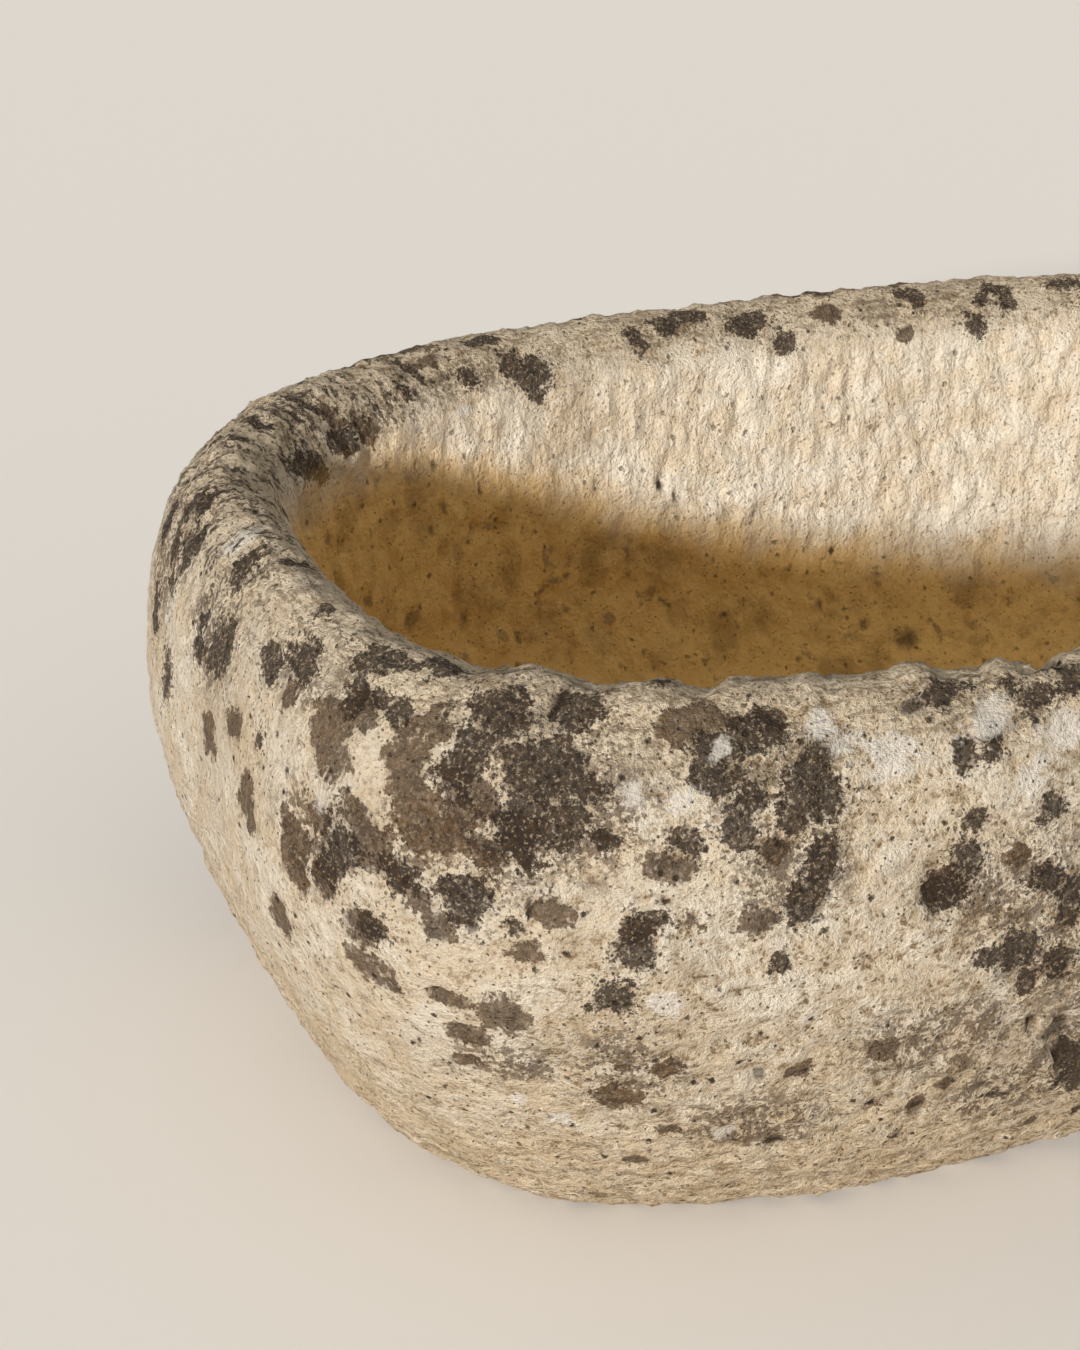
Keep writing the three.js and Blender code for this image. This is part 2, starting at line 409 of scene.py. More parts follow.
    strokes = strokes * size["Chisel Depth"] * basin
    depth = (lumps + worn + rough + pocks + strokes) * skin
    normal = node(tree, "GeometryNodeInputNormal")
    push = tree.nodes.new("ShaderNodeVectorMath")
    push.operation = "SCALE"
    feed(normal, push.inputs[0])
    feed(depth, push.inputs["Scale"])
    pushed = {"Geometry": closed, "Offset": Wire(tree, push.outputs[0])}
    worked = node(tree, "GeometryNodeSetPosition", {}, pushed)
    solid = node(tree, "GeometryNodeRealizeInstances", {}, {"Geometry": worked})
    dressed = node(tree, "GeometryNodeSetMaterial", {}, {"Geometry": solid, "Material": size["Stone"]})
    end = tree.nodes.new("NodeGroupOutput")
    feed(dressed, end.inputs["Geometry"])
    return tree


def finished(name, maker, materials):
    """What a piece's modifiers make, as a plain mesh with its own materials."""
    graph = bpy.context.evaluated_depsgraph_get()
    mesh = bpy.data.meshes.new_from_object(maker.evaluated_get(graph), depsgraph=graph)
    made = bpy.data.objects.new(name, mesh)
    bpy.context.scene.collection.objects.link(made)
    mesh.materials.clear()
    for material in materials:
        mesh.materials.append(material)
    bpy.data.objects.remove(maker)
    return made


rows, crest_row = trough_section()
angles, rounds = trough_plan()
run = np.concatenate([[0], np.cumsum([math.dist(a[1::2], b[1::2]) for a, b in zip(rows, rows[1:])])])
overs = run - run[crest_row]
FOOT_OVER = overs[FOOT_ROWS]
BASIN_FLOOR_OVER = overs[crest_row + LIP_ROWS + WALL_ROWS + COVE_ROWS * 2 // 3]
DRAIN_OVER = overs[-DRAIN_ROWS - 2]

limestone = bpy.data.materials.new("limestone")
section = points_with("trough_section", [(r[1], 0, r[3]) for r in rows], half_length=[r[0] for r in rows],
                      half_width=[r[1] for r in rows], squareness=[r[2] for r in rows],
                      height=[r[3] for r in rows], over=overs)
plan = points_with("trough_plan", [(r, 0, 0) for r in rounds], angle=angles, round=rounds)
block = points_with("trough_block", [(0, 0, 0)])
carving = block.modifiers.new("carving", "NODES")
carving.node_group = carve_trough()
settings = {
    "Plan": plan, "Section": section, "Columns": len(angles), "Rows": len(rows),
    "Half Length": BELLY_HALF_LENGTH, "End Bow": END_BOW, "End Rise Share": LEFT_END_RISE / CREST_HEIGHT,
    "Half Width": BELLY_HALF_WIDTH, "Front Rise Share": FRONT_RISE / CREST_HEIGHT,
    "Lump Depth": 0.0022, "Rough Depth": 0.0034, "Pocking Depth": 0.0030, "Chisel Depth": 0.0040,
    "Crest Wear": 0.0040, "Stone": limestone,
}
for socket in carving.node_group.interface.items_tree:
    if socket.in_out == "INPUT":
        carving[socket.identifier] = settings[socket.name]
trough = finished("carved_trough", block, [limestone])
bpy.data.objects.remove(section)
bpy.data.objects.remove(plan)

# The stone's own accidents, each placed one by one: where the crest stands up in humps or is knocked away,
# where a shell has fallen out and left a hollow, and the dark spots on the basin's wall. Each has its
# place in millimetres: how far round from the middle of the left end towards the front, how far over the
# crest, half its breadth and half its height. Humps and hollows end in how far they stand out.
HUMPS_IN_MM = (
    (188, 6, 24, 24, 4), (178, 6, 8, 14, -2), (158, 6, 18, 20, -3), (218, 4, 12, 18, -1),
    (242, 6, 14, 20, 3), (262, 6, 10, 20, -2), (272, 4, 9, 18, 2), (289, 8, 18, 22, 3),
    (308, 4, 9, 18, 3), (354, 6, 14, 20, 3), (400, 4, 62, 26, -4), (394, 6, 12, 20, 4),
    (417, 14, 10, 26, -7), (-150, -14, 60, 24, -3), (520, 6, 24, 20, 3), (-60, 4, 24, 20, 2),
    (-100, 6, 12, 18, -2), (-230, 6, 16, 18, 2), (-290, 6, 14, 18, -2), (-420, 6, 22, 18, 1),
    (427, -160, 4, 10, 3), (-30, -6, 12, 16, -2), (-178, 10, 14, 14, 2),
)
HOLLOWS_IN_MM = (
    (367, -84, 5, 11, -5), (420, -155, 4, 6, -5), (436, -166, 9, 11, -6), (443, -182, 7, 8, -5),
    (373, -196, 6, 9, -3), (191, -90, 4, 4, -3), (212, -79, 3, 5, -3), (237, -52, 4, 4, -3),
    (302, -157, 3, 6, -3), (310, -204, 6, 6, -3), (351, -187, 3, 4, -3), (207, -6, 4, 9, -3),
    (353, -12, 8, 4, -3), (124, -22, 3, 6, -3), (251, -117, 3, 4, -2), (-442, 97, 4, 4, -4),
    (-452, 106, 3, 7, -2), (-188, 80, 3, 8, -2), (-567, 148, 3, 4, -2), (-583, 147, 2, 4, -2),
)
SPOTS_IN_MM = (
    (-280, 62, 4, 5), (-232, 66, 2, 4), (-260, 78, 3, 3), (-218, 82, 2, 4), (-312, 80, 2, 5),
    (-287, 143, 6, 7), (-324, 161, 4, 6), (-315, 174, 4, 3), (-343, 105, 3, 3), (-349, 110, 3, 2),
    (-368, 136, 4, 3), (-378, 133, 3, 3), (-421, 154, 3, 5), (-438, 160, 5, 4), (-372, 155, 2, 2),
    (-432, 123, 3, 3), (-415, 120, 2, 2), (-497, 150, 2, 5), (-515, 132, 2, 2), (-535, 128, 3, 5),
    (-600, 161, 3, 3), (-638, 176, 2, 4), (-553, 176, 5, 6), (-480, 173, 4, 3), (-508, 178, 2, 2),
    (-452, 196, 5, 4), (-618, 202, 16, 10), (-700, 177, 5, 3), (-675, 196, 2, 3), (-733, 206, 2, 3),
    (-272, 94, 4, 4), (-525, 205, 3, 4), (-390, 188, 4, 3), (-350, 190, 3, 3), (-660, 150, 2, 3),
    (-337, 36, 3, 3), (-296, 31, 3, 3), (-560, 120, 2, 3), (-300, 120, 2, 2), (-240, 110, 2, 2),
    (-585, 190, 7, 5),
)
RAGGED_BLOBS = 190
WIDEST_RAGGED = 1.5


def humped(mesh, placed, steepness, raggedness):
    """Pushes the skin out or in, most in the middle of each place."""
    where = np.empty(len(mesh.vertices) * 3)
    mesh.attributes["place_in_round"].data.foreach_get("vector", where)
    outwards = np.empty_like(where)
    mesh.vertex_normals.foreach_get("vector", outwards)
    ragged = raggedness * np.array([turbulence.noise(point.co * RAGGED_BLOBS) for point in mesh.vertices])
    rise = np.zeros(len(mesh.vertices))
    for around, over, half_breadth, half_height, height in ([v / 1000 for v in mark] for mark in placed):
        away = np.hypot((where[0::3] - around) / half_breadth, (where[1::3] - over) / half_height)
        rise += height * np.clip(1 - (away + ragged) ** 2, 0, 1) ** steepness * (away < WIDEST_RAGGED)
    points = np.empty_like(where)
    mesh.vertices.foreach_get("co", points)
    points += outwards * np.repeat(rise, 3)
    mesh.vertices.foreach_set("co", points)
    mesh.update()


humped(trough.data, HUMPS_IN_MM, steepness=2, raggedness=0.1)
humped(trough.data, HOLLOWS_IN_MM, steepness=0.8, raggedness=0.6)
thinning = trough.modifiers.new("thinning", "DECIMATE")
thinning.ratio = MOST_TRIANGLES / sum(len(face.vertices) - 2 for face in trough.data.polygons)
trough = finished("carved_trough_stone", trough, [limestone])
trough.data.shade_smooth()
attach(trough, "trough")
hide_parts("stone_trough")

# What grows on the trough: dark and brown lichens in round crusts, a thin brown film, and a few white
# lichens. Each has its place in millimetres: how far round it is from the middle of the left end towards
# the front, how far over the crest, half its breadth and half its height. Those on the sides that were
# looked at are placed one by one, and the rest are strewn.
CHARCOAL_IN_MM = (
    (16, -46, 12, 11), (62, -31, 8, 8), (85, -21, 11, 8), (121, -22, 5, 9), (134, -20, 6, 5),
    (145, -20, 6, 5), (187, -13, 13, 10), (179, -31, 11, 12), (208, -32, 17, 15), (207, -54, 14, 13),
    (130, -74, 10, 12), (160, -76, 9, 9), (150, -101, 8, 8), (187, -81, 11, 11), (125, -85, 7, 9),
    (122, -7, 16, 7), (152, 3, 12, 6), (68, -58, 4, 7), (-50, -85, 9, 12), (218, -10, 9, 8),
    (209, -7, 4, 7), (220, -31, 13, 9), (232, -37, 6, 6), (221, -52, 10, 9), (225, -46, 10, 5),
    (237, -52, 8, 5), (211, -81, 2, 4), (289, -18, 12, 9), (275, -28, 10, 10), (270, -20, 7, 4),
    (286, -47, 10, 9), (291, -40, 8, 6), (269, -52, 7, 6), (313, -34, 16, 14), (307, -46, 9, 7),
    (321, -60, 7, 11), (316, -77, 8, 11), (258, -82, 8, 5), (244, 4, 5, 3), (366, -8, 11, 6),
    (405, -15, 8, 8), (396, -8, 5, 4), (375, -32, 5, 7), (387, -30, 5, 7), (382, -57, 6, 5),
    (379, -71, 8, 10), (415, -56, 7, 7), (416, -84, 8, 9), (427, -94, 8, 9), (424, -10, 8, 7),
    (3, -13, 7, 13), (8, -18, 5, 9), (-58, -30, 8, 12), (-48, -20, 5, 10), (-80, -18, 6, 12),
    (-66, -6, 6, 11), (-142, -3, 5, 11), (-143, -11, 4, 9), (-167, 6, 5, 9), (-205, 10, 4, 10),
    (-190, 14, 4, 7), (-165, 36, 12, 10), (-182, 40, 12, 9), (-205, 33, 9, 7), (-100, 36, 7, 6),
    (-14, -43, 5, 5), (19, -39, 7, 10), (6, -50, 6, 10), (-10, -53, 6, 6), (130, -4, 12, 4),
    (75, -1, 6, 4), (22, 6, 5, 8), (-80, -68, 7, 13), (-62, -48, 6, 9), (-75, -35, 6, 9),
    (-105, -36, 9, 10), (-105, -18, 4, 12), (148, -102, 7, 7), (208, -88, 4, 4), (253, -93, 9, 8),
    (246, -114, 9, 8), (259, -79, 3, 6), (307, -101, 5, 4), (370, -85, 8, 8), (406, -113, 9, 10),
    (393, -114, 7, 6), (413, -131, 5, 7), (426, -124, 8, 8), (427, -103, 6, 6), (366, -210, 4, 4),
    (351, -187, 3, 4), (415, -199, 7, 4), (-361, 28, 13, 11), (-349, 23, 8, 8), (-358, 38, 8, 5),
    (-290, 12, 4, 12), (-272, 22, 4, 7), (-345, 4, 13, 4), (-318, 24, 8, 5), (-462, 12, 10, 8),
    (-436, 18, 6, 11), (-475, 4, 8, 4), (-213, 36, 10, 7), (-672, 18, 6, 7), (-668, 30, 10, 6),
    (-690, 17, 6, 9), (-680, 9, 10, 4), (-622, 8, 10, 6), (-628, 14, 6, 6), (-512, 17, 17, 8),
    (-532, 31, 10, 6), (-478, 10, 10, 7), (-730, 8, 14, 5),
)
BROWN_IN_MM = (
    (15, -81, 12, 11), (43, -66, 9, 9), (115, -38, 16, 16), (129, -25, 8, 8), (83, -36, 7, 9),
    (163, -22, 10, 8), (158, -30, 9, 6), (154, -41, 12, 16), (172, -56, 21, 13), (184, -42, 14, 11),
    (137, -62, 12, 9), (147, -70, 13, 12), (102, -84, 11, 11), (106, -96, 8, 12), (61, -84, 9, 13),
    (66, -96, 7, 6), (88, -123, 11, 11), (144, -104, 12, 11), (145, -119, 12, 12), (178, -92, 9, 9),
    (167, -85, 8, 7), (122, -92, 8, 9), (222, -81, 10, 7), (213, -96, 9, 7), (197, -62, 11, 10),
    (115, -70, 8, 8), (206, -56, 9, 10), (263, -12, 15, 8), (263, -62, 9, 7), (301, -58, 6, 6),
    (297, -84, 9, 7), (294, -12, 8, 5), (254, -85, 8, 5), (401, -73, 6, 5), (205, -125, 11, 10),
    (190, -139, 12, 6), (186, -154, 7, 4), (157, -124, 7, 5), (180, -122, 9, 4), (244, -165, 12, 9),
    (248, -148, 6, 4), (266, -148, 8, 5), (248, -211, 8, 4), (264, -188, 6, 4), (373, -193, 5, 10),
    (310, -202, 5, 6), (354, -152, 8, 5), (318, -158, 7, 5), (384, -180, 6, 5), (438, -230, 8, 4),
    (-235, 36, 11, 11), (-570, 18, 12, 8), (-617, 33, 7, 5), (-298, 11, 10, 7), (-213, 22, 10, 9),
    (272, -82, 9, 5), (372, -80, 9, 9),
)
FILM_IN_MM = (
    (200, -20, 75, 34), (180, -60, 60, 40), (230, -45, 50, 40), (300, -30, 50, 30), (310, -65, 40, 35),
    (390, -12, 60, 24), (400, -85, 50, 40), (430, -120, 50, 45), (380, -150, 70, 40), (300, -185, 60, 34),
    (420, -195, 60, 40), (205, -150, 40, 20), (110, -80, 40, 40), (250, 4, 200, 14), (250, -150, 40, 40),
    (340, 0, 90, 16), (90, -25, 50, 24), (0, -45, 45, 40), (-90, -40, 60, 60), (-340, 20, 60, 22),
    (-470, 14, 60, 18), (-620, 16, 100, 20), (-240, 26, 50, 24), (-760, 10, 80, 20), (460, -150, 60, 60),
)
WHITE_IN_MM = (
    (276, -22, 5, 5), (313, -15, 8, 6), (326, -24, 8, 8), (345, -30, 18, 11), (385, -20, 16, 8),
    (410, -40, 11, 9), (418, -30, 10, 9), (402, -43, 7, 7), (-15, -6, 11, 11), (263, -40, 11, 7),
    (247, -36, 8, 8), (204, -172, 5, 5), (220, -180, 9, 5), (227, -189, 6, 3), (265, -115, 9, 6),
    (287, -192, 8, 6), (116, -62, 6, 6), (-8, -118, 4, 6), (-310, 40, 10, 6),
)
# Where the placed ones stop and the strewn ones begin, in metres round and over.
PLACED_FROM = -0.11
PLACED_TO = 0.44
RIM_PLACED_FROM = -0.75
RIM_LOWER_EDGE = -0.004
CRUSTS_TOP = 0.022
CRUSTS_REACH_DOWN = 0.235
INNERMOST_CRUST = 0.03
# How many are strewn, and the patches that most of them keep to.
STREWN_CHARCOAL = 230
STREWN_BROWN = 150
STREWN_WHITE = 34
STREWN_FILM = 44
PATCHES = 22
SHARE_IN_PATCHES = 0.72
PATCH_BREADTH = 0.032
PATCH_HEIGHT = 0.020


def strewn(count, least, most, seed):
    """Crusts on the sides that weren't looked at: the right-hand end, the back and the low left. Most
    of them keep together in patches, and most of them are small."""
    draw = random.Random(seed)
    half_round = rounds[-1]

    def anywhere():
        around = draw.uniform(-half_round, half_round)
        return around, CRUSTS_TOP - CRUSTS_REACH_DOWN * draw.random() ** 1.3

    patches = [anywhere() for _ in range(PATCHES)]
    made = []
    while len(made) < count:
        around, height = anywhere()
        if draw.random() < SHARE_IN_PATCHES:
            middle = draw.choice(patches)
            around, height = draw.gauss(middle[0], PATCH_BREADTH), draw.gauss(middle[1], PATCH_HEIGHT)
        placed = PLACED_FROM < around < PLACED_TO
        placed = placed or (RIM_PLACED_FROM < around < 0 and height > RIM_LOWER_EDGE)
        if not placed and height < INNERMOST_CRUST and abs(around) < half_round:
            size = between(least, most, draw.random() ** 2)
            made.append((around, height, size * draw.uniform(0.7, 1.3), size * draw.uniform(0.8, 1.3)))
    return made


def crusts(mesh, name, placed, extra):
    """Stores how far inside the nearest crust each point is: 1 in its middle, 0 at its edge."""
    where = np.empty(len(mesh.vertices) * 3)
    mesh.attributes["place_in_round"].data.foreach_get("vector", where)
    around, over = where[0::3], where[1::3]
    depth = np.full(len(around), -2.0)
    marks = [tuple(v / 1000 for v in mark) for mark in placed] + extra
    for middle, height, half_breadth, half_height in marks:
        away = np.hypot((around - middle) / half_breadth, (over - height) / half_height)
        depth = np.maximum(depth, 1 - away)
    mesh.attributes.new(name, "FLOAT", "POINT").data.foreach_set("value", depth)


crusts(trough.data, "charcoal", CHARCOAL_IN_MM, strewn(STREWN_CHARCOAL, least=0.004, most=0.017, seed=3))
crusts(trough.data, "brown", BROWN_IN_MM, strewn(STREWN_BROWN, least=0.005, most=0.018, seed=5))
crusts(trough.data, "white", WHITE_IN_MM, strewn(STREWN_WHITE, least=0.005, most=0.018, seed=7))
crusts(trough.data, "film", FILM_IN_MM, strewn(STREWN_FILM, least=0.03, most=0.08, seed=9))
crusts(trough.data, "hollow", [mark[:4] for mark in HOLLOWS_IN_MM], [])
crusts(trough.data, "spot", SPOTS_IN_MM, [])

# The stone's finish: cream shelly limestone with buff and brown in its low places, which is dirt and
# painted shade, a rim and left end painted paler and a foot painted warmer and darker, which are painted
# light and painted shade, thin layers low on the outside and on the rim, dust, the lichens, silt in the
# basin that is also painted shade, and small holes right through all of it, darkened with painted shade.
limestone.use_nodes = True
stone = limestone.node_tree
place = node(stone, "ShaderNodeTexCoord", out="Object")


def stored_value(tree, name):
    return node(tree, "ShaderNodeAttribute", {"attribute_name": name}, {}, "Fac")


def blended(tree, share, start, end):
    """A colour between two colours or wires of colours, which are the Mix node's sockets 6 and 7."""
    made = tree.nodes.new("ShaderNodeMix")
    made.data_type = "RGBA"
    feed(share, made.inputs[0])
    feed(start, made.inputs[6])
    feed(end, made.inputs[7])
    return Wire(tree, made.outputs[2])


in_round = node(stone, "ShaderNodeUVMap", {"uv_map": "rind"})
around, over = parts_of(stone, in_round)[:2]
inside = ramp(over, 0.020, 0.045)
on_rim = ramp(over.worked("ABSOLUTE"), 0.012, 0.042, 1.0, 0.0)

# The ochre in the basin is silt and painted shade: the wall is painted ochre below a slanting line that
# follows the edge of the sun's shadow on it. The numbers are the line's height at the middle of the trough,
# how much it drops towards the right-hand end, how much it rises again towards both ends, and its highest
# place.
SHADE_SILT_HEIGHT = 0.124
SHADE_SILT_SLOPE = 0.26
SHADE_SILT_CURVE = 0.56
SHADE_SILT_TOP = 0.213

# How the stone varies, from broad clouds down to single grains. Scales are blobs to the metre.
cloud = noise(stone, place, 11.0, 3.0)
patch = noise(stone, place, 46.0, 4.0, 0.6)
crag = noise(stone, stretched(stone, place, 1.0, 1.0, 1.25), 130.0, 6.0, 0.72)
grit = noise(stone, place, 420.0, 4.0, 0.68)
sand = noise(stone, place, 1300.0, 2.0, 0.6)
shell = cells(stone, place, 330.0, "Color")
HOLES_TO_A_METRE = 115.0
FINE_HOLES_TO_A_METRE = 340.0
hole = ramp(cells(stone, place, HOLES_TO_A_METRE) + (grit - 0.5) * 0.5, 0.05, 0.17, 1.0, 0.0)
hole = hole * ramp(cells(stone, place, HOLES_TO_A_METRE, "Color"), 0.46, 0.50)
fine_hole = ramp(cells(stone, place, FINE_HOLES_TO_A_METRE) + (sand - 0.5) * 0.5, 0.06, 0.24, 1.0, 0.0)
fine_hole = fine_hole * ramp(cells(stone, place, FINE_HOLES_TO_A_METRE, "Color"), 0.42, 0.48)

# The bare stone: cream, painted paler on the rim as painted light, warmer and darker towards the foot as
# painted shade, with buff and brown held in its low places as dirt and painted shade, and dust; the left
# end, painted as lit by the sun, keeps less of the darkening and the dust.
CREAM = (0.82, 0.685, 0.505, 1)
PALE_CREAM = (0.93, 0.85, 0.71, 1)
PAINTED_LIGHT_CREAM = (0.96, 0.80, 0.58, 1)
BUFF = (0.46, 0.33, 0.185, 1)
DEEP_BUFF = (0.20, 0.125, 0.062, 1)
PAINTED_WARM_SHADE = (0.80, 0.61, 0.365, 1)
OCHRE = (0.94, 0.58, 0.165, 1)
DARK_OCHRE = (0.58, 0.33, 0.08, 1)
GREY_DUST = (0.25, 0.175, 0.100, 1)
SHADE_BROWN = (0.05, 0.032, 0.018, 1)
MUD_BROWN = (0.19, 0.100, 0.028, 1)
colour = blended(stone, ramp(patch, 0.38, 0.64), CREAM, PALE_CREAM)
colour = blended(stone, ramp(cloud, 0.50, 0.72) * 0.4, colour, BUFF)
# Painted shade: the outside turns warmer and darker towards the foot, as in the warm shade under the belly.
colour = blended(stone, ramp(over, -0.24, -0.12, 0.5, 0.0), colour, PAINTED_WARM_SHADE)
colour = blended(stone, ramp(shell, 0.70, 0.74) * 0.35, colour, PALE_CREAM)
# Painted light: the rim is painted a paler, sunlit cream.
colour = blended(stone, on_rim * 0.65, colour, PAINTED_LIGHT_CREAM)
# Painted shade as well as dirt: buff and brown darken the low places of the relief.
low = crag * 0.6 + grit * 0.4 + inside * 0.06
# Painted light: the left end, which faces the sun, keeps less of the darkening and dust than the rest.
darkening_past_painted_lit_left_end = ramp(around.worked("ABSOLUTE"), 0.08, 0.30, 0.42, 1.0)
colour = blended(stone, ramp(low, 0.40, 0.52, 0.85, 0.0) * darkening_past_painted_lit_left_end, colour, BUFF)
colour = blended(stone, ramp(low, 0.37, 0.455, 0.90, 0.0) * darkening_past_painted_lit_left_end, colour, DEEP_BUFF)
colour = blended(stone, ramp(sand, 0.52, 0.72) * 0.4, colour, PALE_CREAM)
strata = noise(stone, stretched(stone, place, 1.0, 1.0, 5.0), 55.0, 4.0, 0.65)
strata = ramp(strata + (grit - 0.5) * 0.8, 0.54, 0.62) * ramp(over, -0.23, -0.12, 1.0, 0.0)
colour = blended(stone, strata * 0.55, colour, DEEP_BUFF)
dusty = ramp(noise(stone, place, 24.0, 4.0, 0.62) + (grit - 0.5) * 0.9, 0.50, 0.74) * (1.0 - inside)
colour = blended(stone, dusty * 0.35 * darkening_past_painted_lit_left_end, colour, GREY_DUST)
weather = ramp(patch * 0.7 + crag * 0.9 + (grit - 0.5) * 0.9, 0.78, 0.86) * on_rim
colour = blended(stone, weather * 0.25, colour, GREY_DUST)
bedding = noise(stone, stretched(stone, in_round, 50.0, 300.0, 0.0), 1.0, 4.0, 0.65) + (grit - 0.5) * 0.6
colour = blended(stone, ramp(bedding, 0.51, 0.60) * on_rim * 0.55, colour, DEEP_BUFF)

# The lichens. Each crust gets lobes and a frayed edge, and grains of bare stone show through it.
fray = (crag - 0.5) * 1.8 + (grit - 0.5) * 1.1
lobes = (noise(stone, place, 70.0, 2.0) - 0.5) * 1.9
brown_depth = stored_value(stone, "brown") + lobes + fray
dark_depth = stored_value(stone, "charcoal") + lobes + fray * 1.1
grains = ramp(noise(stone, place, 300.0, 4.0, 0.6), 0.54, 0.60)
brown_crust = ramp(brown_depth, 0.04, 0.20) * (1.0 - grains * ramp(brown_depth, 0.05, 0.55, 0.75, 0.08))
dark_crust = ramp(dark_depth, -0.05, 0.12) * (1.0 - grains * ramp(dark_depth, 0.05, 0.55, 0.80, 0.10))
white_crust = ramp(stored_value(stone, "white") + (lobes + fray) * 1.1, 0.05, 0.5)
film = ramp(stored_value(stone, "film"), 0.0, 0.7)
film_noise = noise(stone, place, 110.0, 5.0, 0.7) + (grit - 0.5) * 1.1 + on_rim * 0.02
film = ramp(film_noise + film * 0.18, 0.62, 0.71) * film
streaky = noise(stone, stretched(stone, in_round, 170.0, 60.0, 0.0), 1.0, 4.0, 0.6)
at_left = ramp(around, -0.36, -0.26) * ramp(around, 0.0, 0.07, 1.0, 0.0)
at_left = at_left * ramp(over.worked("ABSOLUTE"), 0.024, 0.052, 1.0, 0.0)
streaks = ramp(streaky + (grit - 0.5) * 0.6, 0.50, 0.60) * at_left
pepper = ramp(noise(stone, place, 560.0, 2.0, 0.5), 0.57, 0.63) * ramp(dark_depth, -1.4, -0.1)

SPECKLE = (0.52, 0.41, 0.28, 1)
CHARCOAL = (0.034, 0.024, 0.018, 1)
DARK_UMBER = (0.066, 0.039, 0.021, 1)
UMBER = (0.150, 0.086, 0.040, 1)
LIME_WHITE = (0.92, 0.87, 0.79, 1)
speck = ramp(noise(stone, place, 640.0, 3.0, 0.6), 0.56, 0.64)
mould = ramp(crag + (sand - 0.5) * 0.5, 0.42, 0.60)
brown_growth = blended(stone, mould, DARK_UMBER, UMBER)
brown_growth = blended(stone, speck * 0.3, brown_growth, SPECKLE)
dark_growth = blended(stone, mould, CHARCOAL, DARK_UMBER)
dark_growth = blended(stone, speck * 0.65, dark_growth, SPECKLE)
colour = blended(stone, film * (0.75 - on_rim * 0.45), colour, brown_growth)
colour = blended(stone, brown_crust * 0.88, colour, brown_growth)
colour = blended(stone, dark_crust * 0.92, colour, dark_growth)
colour = blended(stone, pepper * 0.75, colour, CHARCOAL)
colour = blended(stone, white_crust * 0.70, colour, LIME_WHITE)
colour = blended(stone, streaks * 0.85, colour, dark_growth)

# The silt and painted shade, up to its line, and then the spots, hollows and holes in all of it.
lengthwise, _, above_ground = parts_of(stone, place)
shade_silt_line = SHADE_SILT_HEIGHT - lengthwise * SHADE_SILT_SLOPE + lengthwise * lengthwise * SHADE_SILT_CURVE
below_shade_silt_line = shade_silt_line.worked("MINIMUM", SHADE_SILT_TOP) - above_ground
below_shade_silt_line = below_shade_silt_line + (noise(stone, place, 30.0, 4.0) - 0.5) * 0.03
# Painted shade as well as silt: below the shadow's edge the basin's wall takes the ochre.
stain = inside * ramp(below_shade_silt_line, -0.018, 0.018)
silt_and_painted_shade = blended(stone, ramp(noise(stone, place, 34.0, 5.0, 0.65), 0.46, 0.68), OCHRE, DARK_OCHRE)
silt_and_painted_shade = blended(stone, ramp(noise(stone, place, 84.0, 3.0, 0.55), 0.60, 0.70, 0.0, 0.60), silt_and_painted_shade, MUD_BROWN)
colour = blended(stone, stain * 0.92, colour, silt_and_painted_shade)
spot = ramp(stored_value(stone, "spot") + fray * 0.6, 0.0, 0.9)
colour = blended(stone, spot * 0.75, colour, SHADE_BROWN)
# Painted shade: the hollows are darkened as if in their own shade.
hollow = ramp(stored_value(stone, "hollow") + fray * 0.4, 0.0, 0.6)
colour = blended(stone, hollow * 0.85, colour, SHADE_BROWN)
# Painted shade: the small holes are darkened as if in their own shade; the relief below also sinks them.
colour = blended(stone, hole * (0.95 - inside * 0.50), colour, SHADE_BROWN)
colour = blended(stone, fine_hole * (0.85 - inside * 0.45), colour, SHADE_BROWN)

rock = stone.nodes["Principled BSDF"]
feed(colour, rock.inputs["Base Color"])
rock.inputs["Roughness"].default_value = 0.95
rock.inputs["Specular IOR Level"].default_value = 0.25
STONE_RELIEF = 0.006
upright = stretched(stone, place, 1.0, 1.0, 0.5)
strokes = noise(stone, upright, 100.0, 3.0, 0.55) * inside
height = grit * 0.46 + sand * 0.06 + crag * (1.25 + on_rim * 0.45 - inside * 0.40) + strokes * 1.4
height = height - hole * 0.5 - fine_hole * 0.25
relief = stone.nodes.new("ShaderNodeBump")
relief.inputs["Strength"].default_value = 1.0
relief.inputs["Distance"].default_value = STONE_RELIEF
feed(height, relief.inputs["Height"])
feed(Wire(stone, relief.outputs[0]), rock.inputs["Normal"])


# The bung. It is one peg of oak, turned on a lathe: a tapered shank that fills the drain hole, a
# shoulder, a waisted neck, and a flat-topped head for the hand that pulls it out. It is pushed in from
# the basin, and years of damp have darkened it.
bung_low, bung_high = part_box("drain_bung")
BUNG_SIDES = 96
BUNG_SEAT_GAP = 0.0003
BUNG_CHAMFER = 0.002
BUNG_SHOULDER_HEIGHT = 0.005
BUNG_NECK_RADIUS = 0.012
BUNG_NECK_HEIGHT = 0.012
BUNG_HEAD_RADIUS = 0.018
BUNG_HEAD_ROUNDING = 0.0055
BUNG_DISH = 0.0006
LATHE_RIPPLE = 0.00012


def drain_radius(height):
    return between(DRAIN_RADIUS_AT_FOOT, DRAIN_RADIUS_AT_FLOOR, height / FLOOR_THICKNESS)


